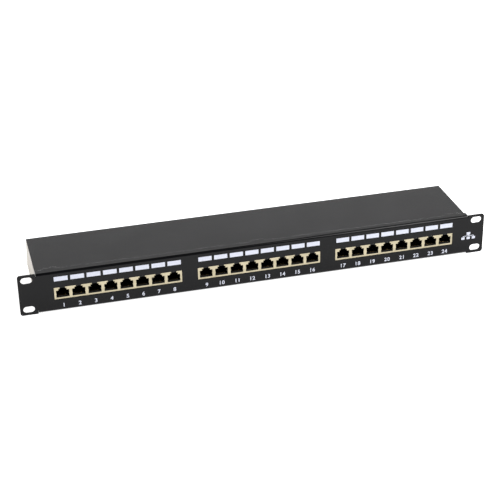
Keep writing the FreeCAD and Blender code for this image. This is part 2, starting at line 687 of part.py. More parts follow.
def make_strip(document, number, block):
    """Moulded terminal strip with two ridges of slots, four pairs behind each socket."""
    body = new_body(document, f"idc_strip_{number}", block_x(block))
    section = side_sketch(body, "strip_section")
    corners = [("dims.strip_front", "dims.board_top"), ("dims.strip_rear", "dims.board_top"),
               ("dims.strip_rear", "dims.strip_base_top")]
    for ridge in ("dims.rear_ridge", "dims.front_ridge"):
        corners += [
            (f"{ridge} + dims.ridge_half", "dims.strip_base_top"),
            (f"{ridge} + dims.ridge_half", "dims.ridge_shoulder"),
            (f"{ridge} + dims.ridge_crest_half", "dims.ridge_top"),
            (f"{ridge} - dims.ridge_crest_half", "dims.ridge_top"),
            (f"{ridge} - dims.ridge_half", "dims.ridge_shoulder"),
            (f"{ridge} - dims.ridge_half", "dims.strip_base_top"),
        ]
    corners.append(("dims.strip_front", "dims.strip_base_top"))
    outline(section, corners)
    pad(body, section, "2 * dims.strip_half", both=True)
    x = "(-3.5 * dims.port_pitch - 1.5 * dims.clip_pitch)"
    slot = front_sketch(body, "strip_slot", "dims.strip_front")
    rectangle(slot, f"{x} - dims.wire_slot / 2", f"{x} + dims.wire_slot / 2",
              "dims.wire_slot_base", "dims.ridge_top + 1")
    cut = pocket(body, slot, "dims.strip_rear - dims.strip_front")
    chamber = plan_sketch(body, "strip_chamber", "dims.ridge_top")
    for ridge in ("dims.rear_ridge", "dims.front_ridge"):
        rectangle(chamber, f"{x} - dims.clip_half - 0.1", f"{x} + dims.clip_half + 0.1",
                  f"{ridge} - dims.clip_thick / 2 - 0.1", f"{ridge} + dims.clip_thick / 2 + 0.1")
    well = pocket(body, chamber, "dims.ridge_top - dims.clip_base")
    grid(body, [cut, well], (("3 * dims.clip_pitch", 4), ("7 * dims.port_pitch", PORTS)))
    return body


def make_clips(document, number, block):
    """Tinned forks that cut through a wire's insulation, two rows of them in a strip."""
    body = new_body(document, f"idc_clips_{number}", block_x(block))
    x = "(-3.5 * dims.port_pitch - 1.5 * dims.clip_pitch)"
    fork = front_sketch(body, "clip_fork", "dims.front_ridge - dims.clip_thick / 2")
    half = "dims.clip_half"
    slit = "dims.clip_slit / 2"
    outline(fork, [
        (f"{x} - {half}", "dims.clip_base"), (f"{x} + {half}", "dims.clip_base"),
        (f"{x} + {half}", "dims.clip_top"), (f"{x} + {slit}", "dims.clip_top"),
        (f"{x} + {slit}", "dims.clip_slit_base"), (f"{x} - {slit}", "dims.clip_slit_base"),
        (f"{x} - {slit}", "dims.clip_top"), (f"{x} - {half}", "dims.clip_top"),
    ])
    clip = pad(body, fork, "dims.clip_thick", backwards=True)
    pair = row(body, clip, "Y_Axis", "dims.rear_ridge - dims.front_ridge", 2, whole=True)
    port = row(body, pair, "X_Axis", "3 * dims.clip_pitch", 4, whole=True)
    row(body, port, "X_Axis", "7 * dims.port_pitch", PORTS, whole=True)
    return body


def make_earthing(document):
    """Earthing stud pressed in the tray floor, with its washer and nut."""
    floor_top = "dims.tray_base + dims.tray_sheet"
    stud = new_body(document, "earth_stud")
    shaft = plan_sketch(stud, "stud_shaft", "dims.tray_base")
    circle(shaft, "dims.stud_x", "dims.stud_y", "dims.stud_radius")
    nut_top = f"{floor_top} + dims.washer_thick + dims.nut_height"
    pad(stud, shaft, f"{nut_top} - dims.tray_base")
    end = plan_sketch(stud, "stud_end", nut_top)
    circle(end, "dims.stud_x", "dims.stud_y", "dims.stud_end_radius")
    pad(stud, end, f"dims.stud_top - ({nut_top})")
    washer = new_body(document, "earth_washer")
    ring = plan_sketch(washer, "washer_ring", floor_top)
    circle(ring, "dims.stud_x", "dims.stud_y", "dims.washer_radius")
    circle(ring, "dims.stud_x", "dims.stud_y", "dims.stud_fit")
    pad(washer, ring, "dims.washer_thick")
    nut = new_body(document, "earth_nut")
    flats = plan_sketch(nut, "nut_flats", f"{floor_top} + dims.washer_thick")
    hexagon(flats, "dims.stud_x", "dims.stud_y", "dims.nut_radius")
    circle(flats, "dims.stud_x", "dims.stud_y", "dims.stud_fit")
    pad(nut, flats, "dims.nut_height")
    return [stud, washer, nut]


def make_all(document):
    """Builds every sub-part."""
    parts = [
        make_front_panel(document), make_label_fields(document), make_tray(document),
        make_top_cover(document), make_cover_screws(document), make_pillars(document),
    ]
    panel_places = [(f"{place} * dims.tab_pitch", "dims.panel_screw_y") for place in BLOCKS]
    parts.append(make_upright_screws(document, "board_screws", pillar_places(),
                                     "dims.board_top", "dims.board_screw_length"))
    parts.append(make_upright_screws(document, "panel_screws", panel_places,
                                     "(dims.tray_base + dims.tray_sheet)",
                                     "dims.panel_screw_length"))
    parts += make_earthing(document)
    for number, block in enumerate(BLOCKS, start=1):
        for maker in (make_shield, make_housing, make_contacts, make_board, make_strip, make_clips):
            parts.append(maker(document, number, block))
    return parts


def check(document, parts):
    """Stops if any feature failed or any sub-part isn't a sound shape."""
    for item in document.Objects:
        if "Invalid" in item.State or "Error" in item.State:
            raise RuntimeError(f"{item.Name} did not compute: {item.State}")
    for part in parts:
        if part.Shape.isNull() or not part.Shape.isValid():
            raise RuntimeError(f"{part.Label} is not a sound shape")


def main():
    """Builds the patch panel and writes one file for each sub-part."""
    document = FreeCAD.newDocument("patch_panel")
    make_sheet(document)
    parts = make_all(document)
    document.recompute()
    check(document, parts)
    os.makedirs("parts", exist_ok=True)
    for part in parts:
        part.Shape.exportStep(f"parts/{part.Label}.step")
        box = part.Shape.BoundBox
        print(part.Label, len(part.Shape.Solids), round(part.Shape.Volume, 1),
              [round(v, 2) for v in (box.XMin, box.XMax, box.YMin, box.YMax, box.ZMin, box.ZMax)])


main()
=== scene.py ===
"""Looks of a one-unit rack patch panel with 24 shielded sockets.

Each sub-assembly is a class that dresses its CAD nodes and adds the printed and fine parts.
All lengths are metres in the part's own frame, and sizes in millimetres end in _mm.
"""

import json
import logging
import math
from collections.abc import Callable
from dataclasses import dataclass, field
from enum import Enum, IntEnum

import bmesh
import bpy
import numpy as np
from mathutils import Matrix, Vector

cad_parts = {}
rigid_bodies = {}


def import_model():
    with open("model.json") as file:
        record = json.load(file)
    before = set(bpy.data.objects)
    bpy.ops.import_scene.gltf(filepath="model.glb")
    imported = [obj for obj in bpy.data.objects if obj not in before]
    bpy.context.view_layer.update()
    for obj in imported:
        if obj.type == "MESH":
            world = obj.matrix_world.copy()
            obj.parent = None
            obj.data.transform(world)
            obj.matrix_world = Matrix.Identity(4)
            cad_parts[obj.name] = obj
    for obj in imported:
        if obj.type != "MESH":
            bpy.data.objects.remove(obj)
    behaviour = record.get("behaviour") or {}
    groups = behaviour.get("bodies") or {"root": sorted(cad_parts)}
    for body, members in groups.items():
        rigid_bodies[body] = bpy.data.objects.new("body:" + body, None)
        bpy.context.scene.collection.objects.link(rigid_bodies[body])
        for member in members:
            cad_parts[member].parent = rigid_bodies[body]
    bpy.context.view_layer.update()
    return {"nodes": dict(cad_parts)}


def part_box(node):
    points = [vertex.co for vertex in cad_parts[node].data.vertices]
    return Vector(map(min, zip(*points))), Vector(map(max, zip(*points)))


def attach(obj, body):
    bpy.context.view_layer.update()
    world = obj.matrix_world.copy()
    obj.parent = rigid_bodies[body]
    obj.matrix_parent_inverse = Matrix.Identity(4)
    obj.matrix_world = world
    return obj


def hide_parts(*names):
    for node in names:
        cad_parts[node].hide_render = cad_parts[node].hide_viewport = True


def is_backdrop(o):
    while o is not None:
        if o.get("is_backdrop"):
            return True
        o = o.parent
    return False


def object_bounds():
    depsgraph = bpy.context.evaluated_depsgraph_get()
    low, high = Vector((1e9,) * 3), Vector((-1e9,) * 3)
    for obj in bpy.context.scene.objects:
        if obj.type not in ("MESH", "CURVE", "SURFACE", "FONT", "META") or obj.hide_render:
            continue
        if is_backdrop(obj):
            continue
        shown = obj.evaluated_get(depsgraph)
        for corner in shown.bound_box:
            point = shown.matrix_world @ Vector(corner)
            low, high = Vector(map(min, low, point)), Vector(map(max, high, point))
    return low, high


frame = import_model()

LOG = logging.getLogger("patch_panel")
MM = 0.001
BLOCKS = (1, 2, 3)
PORTS = 8
WIRES = 8
SHARP_EDGE = math.radians(40)
BROAD_ROUNDING = 3


class Body(Enum):
    """The two bodies that the joint tells apart."""

    CHASSIS = "chassis"
    COVER = "cover"


class MixSocket(IntEnum):
    """Places of the sockets of a colour mix."""

    FACTOR = 0
    RESULT = 2
    FIRST = 6
    SECOND = 7


def linear(hex_colour: str) -> tuple[float, float, float, float]:
    """Turns an sRGB hex colour into linear light.

    Args:
        hex_colour: Six hex digits after a hash sign.

    Returns:
        Red, green, blue and a full alpha.
    """
    values = np.array([int(hex_colour[i:i + 2], 16) for i in (1, 3, 5)]) / 255.0
    low = values / 12.92
    high = ((values + 0.055) / 1.055) ** 2.4
    red, green, blue = np.where(values <= 0.04045, low, high)
    return float(red), float(green), float(blue), 1.0


def add_node(tree: bpy.types.NodeTree, kind: str, settings: dict | None = None,
             links: dict | None = None) -> bpy.types.Node:
    """Adds a shader node, sets it and links its inputs.

    Args:
        tree: The material's node tree.
        kind: The node's type name.
        settings: Properties by name, and socket values by the socket's name or place.
        links: Output sockets by the name or place of the input that each one feeds.

    Returns:
        The new node.
    """
    node = tree.nodes.new(kind)
    for name, value in (settings or {}).items():
        if isinstance(name, str) and hasattr(node, name):
            setattr(node, name, value)
        else:
            node.inputs[name].default_value = value
    for name, source in (links or {}).items():
        tree.links.new(source, node.inputs[name])
    return node


def start_material(name: str) -> tuple[bpy.types.Material, bpy.types.NodeTree]:
    """Makes an empty node material.

    Args:
        name: The finish's name.

    Returns:
        The material and its cleared tree.
    """
    material = bpy.data.materials.new(name)
    material.use_nodes = True
    material.node_tree.nodes.clear()
    return material, material.node_tree


@dataclass(frozen=True)
class PowderCoat:
    """Polyester powder coat, sprayed and baked on steel.

    The eye sees a near-black satin skin that mirrors soft light, with a very fine orange peel.
    """

    name: str = "powder_coat_black_polyester"
    # This default is darker than the top cover's copy of the coat: painted shade on the front face, against
    # painted light on the top.
    colour: str = "#0a0a0b"
    cloud: str = "#0e0e10"
    roughness: float = 0.17
    specular: float = 0.19
    peel_mm: float = 0.9
    peel_depth_mm: float = 0.012

    def material(self) -> bpy.types.Material:
        """Builds the coat: peel as bump, faint cloudiness in tone and gloss."""
        material, tree = start_material(self.name)
        place = add_node(tree, "ShaderNodeTexCoord").outputs["Object"]
        # Real peel is about half as wide: drawn coarser, so that it shows at arm's length.
        peel = add_node(tree, "ShaderNodeTexNoise",
                        {"Scale": 1 / (self.peel_mm * MM), "Detail": 3.0, "Roughness": 0.6},
                        {"Vector": place})
        cloud = add_node(tree, "ShaderNodeTexNoise",
                         {"Scale": 1 / (45 * MM), "Detail": 4.0, "Roughness": 0.65},
                         {"Vector": place})
        tone = add_node(tree, "ShaderNodeMix",
                        {"data_type": "RGBA", MixSocket.FIRST: linear(self.colour),
                         MixSocket.SECOND: linear(self.cloud)},
                        {MixSocket.FACTOR: cloud.outputs["Fac"]})
        gloss = add_node(tree, "ShaderNodeMapRange",
                         {"To Min": self.roughness - 0.04, "To Max": self.roughness + 0.06},
                         {"Value": cloud.outputs["Fac"]})
        bump = add_node(tree, "ShaderNodeBump",
                        {"Strength": 0.3, "Distance": self.peel_depth_mm * MM},
                        {"Height": peel.outputs["Fac"]})
        coat = add_node(tree, "ShaderNodeBsdfPrincipled",
                        {"IOR": 1.5, "Specular IOR Level": self.specular},
                        {"Base Color": tone.outputs[MixSocket.RESULT],
                         "Roughness": gloss.outputs["Result"], "Normal": bump.outputs["Normal"]})
        add_node(tree, "ShaderNodeOutputMaterial", links={"Surface": coat.outputs["BSDF"]})
        return material


@dataclass(frozen=True)
class ZincSheet:
    """Rolled steel sheet, electroplated with zinc.

    The eye sees a warm light grey metal with a soft sheen, fine rolling lines and faint blooms.
    """

    name: str = "zinc_plated_steel_sheet"
    colour: str = "#bbb5ab"
    bloom: str = "#a69f95"
    roughness: float = 0.42
    line_mm: float = 0.35
    bloom_mm: float = 16.0

    def material(self) -> bpy.types.Material:
        """Builds the plate: lines drawn out along Y, blooms a centimetre or two wide."""
        material, tree = start_material(self.name)
        place = add_node(tree, "ShaderNodeTexCoord").outputs["Object"]
        drawn = add_node(tree, "ShaderNodeMapping", {"Scale": (1.0, 0.03, 1.0)},
                         {"Vector": place})
        lines = add_node(tree, "ShaderNodeTexNoise",
                         {"Scale": 1 / (self.line_mm * MM), "Detail": 2.0},
                         {"Vector": drawn.outputs["Vector"]})
        bloom = add_node(tree, "ShaderNodeTexNoise",
                         {"Scale": 1 / (self.bloom_mm * MM), "Detail": 5.0, "Roughness": 0.7},
                         {"Vector": place})
        patch = add_node(tree, "ShaderNodeMapRange", {"From Min": 0.32, "From Max": 0.68},
                         {"Value": bloom.outputs["Fac"]})
        tone = add_node(tree, "ShaderNodeMix",
                        {"data_type": "RGBA", MixSocket.FIRST: linear(self.bloom),
                         MixSocket.SECOND: linear(self.colour)},
                        {MixSocket.FACTOR: patch.outputs["Result"]})
        gloss = add_node(tree, "ShaderNodeMapRange",
                         {"To Min": self.roughness - 0.08, "To Max": self.roughness + 0.1},
                         {"Value": lines.outputs["Fac"]})
        bump = add_node(tree, "ShaderNodeBump", {"Strength": 0.25, "Distance": 0.01 * MM},
                        {"Height": lines.outputs["Fac"]})
        plate = add_node(tree, "ShaderNodeBsdfPrincipled", {"Metallic": 0.9},
                         {"Base Color": tone.outputs[MixSocket.RESULT],
                          "Roughness": gloss.outputs["Result"], "Normal": bump.outputs["Normal"]})
        add_node(tree, "ShaderNodeOutputMaterial", links={"Surface": plate.outputs["BSDF"]})
        return material


@dataclass(frozen=True)
class PlatedMetal:
    """Small metal part with a thin plate: turned, pressed or drawn.

    The eye sees its plate's colour, a fine grain and a broken gloss.
    """

    name: str
    colour: str
    shade: str
    roughness: float
    grain_mm: float = 0.5
    stain_mm: float = 7.0

    def material(self) -> bpy.types.Material:
        """Builds the plate: stains mottle the colour, grain the gloss and the bump."""
        material, tree = start_material(self.name)
        place = add_node(tree, "ShaderNodeTexCoord").outputs["Object"]
        grain = add_node(tree, "ShaderNodeTexNoise",
                         {"Scale": 1 / (self.grain_mm * MM), "Detail": 4.0, "Roughness": 0.6},
                         {"Vector": place})
        stain = add_node(tree, "ShaderNodeTexNoise",
                         {"Scale": 1 / (self.stain_mm * MM), "Detail": 3.0}, {"Vector": place})
        patch = add_node(tree, "ShaderNodeMapRange", {"From Min": 0.3, "From Max": 0.7},
                         {"Value": stain.outputs["Fac"]})
        tone = add_node(tree, "ShaderNodeMix",
                        {"data_type": "RGBA", MixSocket.FIRST: linear(self.shade),
                         MixSocket.SECOND: linear(self.colour)},
                        {MixSocket.FACTOR: patch.outputs["Result"]})
        gloss = add_node(tree, "ShaderNodeMapRange",
                         {"To Min": self.roughness - 0.07, "To Max": self.roughness + 0.08},
                         {"Value": grain.outputs["Fac"]})
        bump = add_node(tree, "ShaderNodeBump", {"Strength": 0.2, "Distance": 0.01 * MM},
                        {"Height": grain.outputs["Fac"]})
        plate = add_node(tree, "ShaderNodeBsdfPrincipled", {"Metallic": 1.0},
                         {"Base Color": tone.outputs[MixSocket.RESULT],
                          "Roughness": gloss.outputs["Result"], "Normal": bump.outputs["Normal"]})
        add_node(tree, "ShaderNodeOutputMaterial", links={"Surface": plate.outputs["BSDF"]})
        return material


@dataclass(frozen=True)
class MouldedPlastic:
    """Injection moulded plastic from a spark-eroded tool.

    The eye sees one even colour, a very fine grain and a slightly uneven gloss.
    """

    name: str
    colour: str
    shade: str
    roughness: float
    grain_mm: float = 0.4
    flow_mm: float = 12.0
    ior: float = 1.53

    def material(self) -> bpy.types.Material:
        """Builds the moulding: grain as bump, flow marks in tone and gloss."""
        material, tree = start_material(self.name)
        place = add_node(tree, "ShaderNodeTexCoord").outputs["Object"]
        grain = add_node(tree, "ShaderNodeTexVoronoi", {"Scale": 1 / (self.grain_mm * MM)},
                         {"Vector": place})
        flow = add_node(tree, "ShaderNodeTexNoise",
                        {"Scale": 1 / (self.flow_mm * MM), "Detail": 3.0}, {"Vector": place})
        tone = add_node(tree, "ShaderNodeMix",
                        {"data_type": "RGBA", MixSocket.FIRST: linear(self.shade),
                         MixSocket.SECOND: linear(self.colour)},
                        {MixSocket.FACTOR: flow.outputs["Fac"]})
        gloss = add_node(tree, "ShaderNodeMapRange",
                         {"To Min": self.roughness - 0.04, "To Max": self.roughness + 0.06},
                         {"Value": flow.outputs["Fac"]})
        bump = add_node(tree, "ShaderNodeBump", {"Strength": 0.2, "Distance": 0.01 * MM},
                        {"Height": grain.outputs["Distance"]})
        skin = add_node(tree, "ShaderNodeBsdfPrincipled", {"IOR": self.ior},
                        {"Base Color": tone.outputs[MixSocket.RESULT],
                         "Roughness": gloss.outputs["Result"], "Normal": bump.outputs["Normal"]})
        add_node(tree, "ShaderNodeOutputMaterial", links={"Surface": skin.outputs["BSDF"]})
        return material


@dataclass(frozen=True)
class SolderMask:
    """Glass fibre circuit board under a green solder mask.

    The eye sees a glossy green skin with the fibre weave just showing through it.
    """

    name: str = "solder_mask_on_glass_fibre"
    colour: str = "#1f6b45"
    shade: str = "#174f36"
    weave_mm: float = 0.9

    def material(self) -> bpy.types.Material:
        """Builds the mask: two crossed waves give the weave."""
        material, tree = start_material(self.name)
        place = add_node(tree, "ShaderNodeTexCoord").outputs["Object"]
        # A wave texture of scale s repeats every 2 pi / (20 s).
        bands = 2 * math.pi / (20 * self.weave_mm * MM)
        warp = add_node(tree, "ShaderNodeTexWave", {"bands_direction": "X", "Scale": bands},
                        {"Vector": place})
        weft = add_node(tree, "ShaderNodeTexWave", {"bands_direction": "Y", "Scale": bands},
                        {"Vector": place})
        weave = add_node(tree, "ShaderNodeMath", {"operation": "MAXIMUM"},
                         {0: warp.outputs["Fac"], 1: weft.outputs["Fac"]})
        tone = add_node(tree, "ShaderNodeMix",
                        {"data_type": "RGBA", MixSocket.FIRST: linear(self.shade),
                         MixSocket.SECOND: linear(self.colour)},
                        {MixSocket.FACTOR: weave.outputs["Value"]})
        bump = add_node(tree, "ShaderNodeBump", {"Strength": 0.15, "Distance": 0.01 * MM},
                        {"Height": weave.outputs["Value"]})
        mask = add_node(tree, "ShaderNodeBsdfPrincipled", {"Roughness": 0.3, "IOR": 1.5},
                        {"Base Color": tone.outputs[MixSocket.RESULT],
                         "Normal": bump.outputs["Normal"]})
        add_node(tree, "ShaderNodeOutputMaterial", links={"Surface": mask.outputs["BSDF"]})
        return material


@dataclass(frozen=True)
class ScreenInk:
    """Screen printing ink, pressed through a mesh.

    The eye sees a flat colour that is a little uneven where the mesh let it through.
    """

    name: str = "screen_ink_white"
    colour: str = "#dde0ed"
    thin: str = "#ced2e0"
    mesh_mm: float = 0.5

    def material(self) -> bpy.types.Material:
        """Builds the ink: mesh marks in tone and bump."""
        material, tree = start_material(self.name)
        place = add_node(tree, "ShaderNodeTexCoord").outputs["Object"]
        marks = add_node(tree, "ShaderNodeTexNoise",
                         {"Scale": 1 / (self.mesh_mm * MM), "Detail": 2.0}, {"Vector": place})
        cover = add_node(tree, "ShaderNodeMapRange", {"From Min": 0.3, "From Max": 0.6},
                         {"Value": marks.outputs["Fac"]})
        tone = add_node(tree, "ShaderNodeMix",
                        {"data_type": "RGBA", MixSocket.FIRST: linear(self.thin),
                         MixSocket.SECOND: linear(self.colour)},
                        {MixSocket.FACTOR: cover.outputs["Result"]})
        bump = add_node(tree, "ShaderNodeBump", {"Strength": 0.1, "Distance": 0.005 * MM},
                        {"Height": marks.outputs["Fac"]})
        film = add_node(tree, "ShaderNodeBsdfPrincipled", {"Roughness": 0.55, "IOR": 1.5},
                        {"Base Color": tone.outputs[MixSocket.RESULT],
                         "Normal": bump.outputs["Normal"]})
        add_node(tree, "ShaderNodeOutputMaterial", links={"Surface": film.outputs["BSDF"]})
        return material


@dataclass(frozen=True)
class LitTable:
    """White acrylic table top, lit from below.

    The eye sees an even white that swallows nearly all of the shadow.
    """

    name: str = "opal_acrylic_table_lit"
    colour: str = "#f4f4f4"
    glow: float = 0.8

    def material(self) -> bpy.types.Material:
        """Builds the acrylic: a matt white that gives off a little light of its own."""
        material, tree = start_material(self.name)
        place = add_node(tree, "ShaderNodeTexCoord").outputs["Object"]
        tooth = add_node(tree, "ShaderNodeTexNoise", {"Scale": 1 / (2 * MM)}, {"Vector": place})
        bump = add_node(tree, "ShaderNodeBump", {"Strength": 0.02, "Distance": 0.05 * MM},
                        {"Height": tooth.outputs["Fac"]})
        acrylic = add_node(tree, "ShaderNodeBsdfPrincipled",
                           {"Base Color": linear(self.colour), "Roughness": 0.9,
                            "Emission Color": (1.0, 1.0, 1.0, 1.0),
                            "Emission Strength": self.glow},
                           {"Normal": bump.outputs["Normal"]})
        add_node(tree, "ShaderNodeOutputMaterial", links={"Surface": acrylic.outputs["BSDF"]})
        return material


def dress(node: str, material: bpy.types.Material) -> None:
    """Gives a CAD node one finish.

    Args:
        node: The node's name.
        material: Its finish.
    """
    mesh = frame["nodes"][node].data
    if not mesh.materials:
        mesh.materials.append(material)
    for index in range(len(mesh.materials)):
        mesh.materials[index] = material


def finish_piece(name: str, mesh: bpy.types.Mesh, material: bpy.types.Material, body: Body) -> bpy.types.Object:
    """Makes a mesh a piece that rides on a body.

    Args:
        name: The piece's name.
        mesh: Its mesh, already in place.
        material: Its finish.
        body: The body that it moves with.

    Returns:
        The new object.
    """
    mesh.materials.clear()
    mesh.materials.append(material)
    piece = bpy.data.objects.new(name, mesh)
    bpy.context.scene.collection.objects.link(piece)
    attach(piece, body.value)
    return piece


def mesh_of(name: str, points: np.ndarray, faces: np.ndarray, smooth: bool = False
            ) -> bpy.types.Mesh:
    """Puts whole arrays of points and faces into a mesh.

    Args:
        name: The mesh's name.
        points: Corners, one row of three lengths each.
        faces: Corner numbers, one row for each face.
        smooth: True to shade it as a curved surface.

    Returns:
        The mesh.
    """
    mesh = bpy.data.meshes.new(name)
    mesh.from_pydata(points.tolist(), [], faces.tolist())
    mesh.polygons.foreach_set("use_smooth", np.full(len(mesh.polygons), smooth))
    mesh.update()
    return mesh


def slabs(low: np.ndarray, high: np.ndarray) -> tuple[np.ndarray, np.ndarray]:
    """Works out many boxes at once: corner k of a box takes its low or high side by k's bits.

    Args:
        low: Lowest corners, one row for each box.
        high: Highest corners, one row for each box.

    Returns:
        Points and outward faces.
    """
    bits = np.array([[k & 1, (k >> 1) & 1, (k >> 2) & 1] for k in range(8)])
    points = low[:, None, :] + bits[None, :, :] * (high - low)[:, None, :]
    quads = np.array([[0, 2, 3, 1], [4, 5, 7, 6], [0, 1, 5, 4], [2, 6, 7, 3],
                      [0, 4, 6, 2], [1, 3, 7, 5]])
    faces = quads[None, :, :] + 8 * np.arange(len(low))[:, None, None]
    return points.reshape(-1, 3), faces.reshape(-1, 4)


def ribbons(paths: np.ndarray, width: float, low: float, high: float
            ) -> tuple[np.ndarray, np.ndarray]:
    """Carries a flat rectangle along many plan paths that run mostly along Y.

    Each station of a path gives four corners, half the width to each side, low and high.

    Args:
        paths: Paths by stations by X and Y.
        width: Width of every ribbon along X.
        low: Underside.
        high: Top.

    Returns:
        Points and outward faces, closed at both ends.
    """
    count, stations = paths.shape[:2]
    side = np.array([-0.5, 0.5, 0.5, -0.5]) * width
    level = np.array([low, low, high, high])
    points = np.empty((count, stations, 4, 3))
    points[..., 0] = paths[..., 0, None] + side
    points[..., 1] = paths[..., 1, None]
    points[..., 2] = level
    step = np.arange(stations - 1)[:, None] * 4
    corner = np.arange(4)[None, :]
    following = (corner + 1) % 4
    wall = np.stack([step + corner, step + following, step + 4 + following,
                     step + 4 + corner], axis=-1).reshape(-1, 4)
    last = 4 * (stations - 1)
    ends = np.array([[3, 2, 1, 0], [last, last + 1, last + 2, last + 3]])
    one = np.concatenate([wall, ends])[:, ::-1]
    faces = one[None] + 4 * stations * np.arange(count)[:, None, None]
    return points.reshape(-1, 3), faces.reshape(-1, 4)


def discs(centres: np.ndarray, radius: float, low: float, high: float, sides: int = 8
          ) -> tuple[np.ndarray, np.ndarray]:
    """Works out many short upright prisms: a ring at each level, closed by one point each.

    Args:
        centres: X and Y, one row for each disc.
        radius: Radius of every disc.
        low: Underside.
        high: Top.
        sides: Sides of each prism.

    Returns:
        Points and outward faces, triangles all.
    """
    angle = np.arange(sides) * 2 * math.pi / sides
    ring = radius * np.stack([np.cos(angle), np.sin(angle)], axis=1)
    flat = np.concatenate([ring, ring, np.zeros((2, 2))])
    level = np.concatenate([np.full(sides, low), np.full(sides, high), [low, high]])
    points = np.empty((len(centres), 2 * sides + 2, 3))
    points[..., :2] = centres[:, None, :] + flat
    points[..., 2] = level
    here = np.arange(sides)
    after = (here + 1) % sides
    bottom, top = 2 * sides, 2 * sides + 1
    one = np.concatenate([
        np.stack([here, after, sides + after], axis=1),
        np.stack([here, sides + after, sides + here], axis=1),
        np.stack([after, here, np.full(sides, bottom)], axis=1),
        np.stack([sides + here, sides + after, np.full(sides, top)], axis=1),
    ])
    faces = one[None] + (2 * sides + 2) * np.arange(len(centres))[:, None, None]
    return points.reshape(-1, 3), faces.reshape(-1, 3)


def soften(node: str, material: bpy.types.Material, body: Body,
           width_mm: float, segments: int = 2,
           broad: Callable[[Vector], bool] | None = None) -> bpy.types.Object:
    """Stands a copy with rounded edges in for a CAD node, so that its edges catch the light.

    Args:
        node: The node's name.
        material: Its finish.
        body: The body that it moves with.
        width_mm: Width of the rounding.
        segments: Facets across the rounding.
        broad: Tells from an edge's middle whether its rounding is a broad one.

    Returns:
        The piece that is shown instead of the node.
    """
    shape = bmesh.new()
    shape.from_mesh(frame["nodes"][node].data)
    bmesh.ops.remove_doubles(shape, verts=shape.verts, dist=1e-6)
    bmesh.ops.dissolve_limit(shape, angle_limit=math.radians(0.5), verts=shape.verts,
                             edges=shape.edges)
    share = shape.edges.layers.float.new("bevel_weight_edge")
    for edge in shape.edges:
        if edge.is_manifold and edge.calc_face_angle() > SHARP_EDGE:
            middle = (edge.verts[0].co + edge.verts[1].co) / 2
            edge[share] = 1.0 if broad and broad(middle) else 1 / BROAD_ROUNDING
    mesh = bpy.data.meshes.new(f"{node}_soft")
    shape.to_mesh(mesh)
    shape.free()
    piece = finish_piece(f"{node}_soft", mesh, material, body)
    bevel = piece.modifiers.new("edge_rounding", "BEVEL")
    bevel.width = BROAD_ROUNDING * width_mm * MM
    bevel.segments = segments
    bevel.limit_method = "WEIGHT"
    bevel.use_clamp_overlap = True
    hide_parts(node)
    return piece


def block_centre(number: int) -> float:
    """Gives a socket block's place along the panel."""
    low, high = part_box(f"jack_housing_{number}")
    return (low.x + high.x) / 2


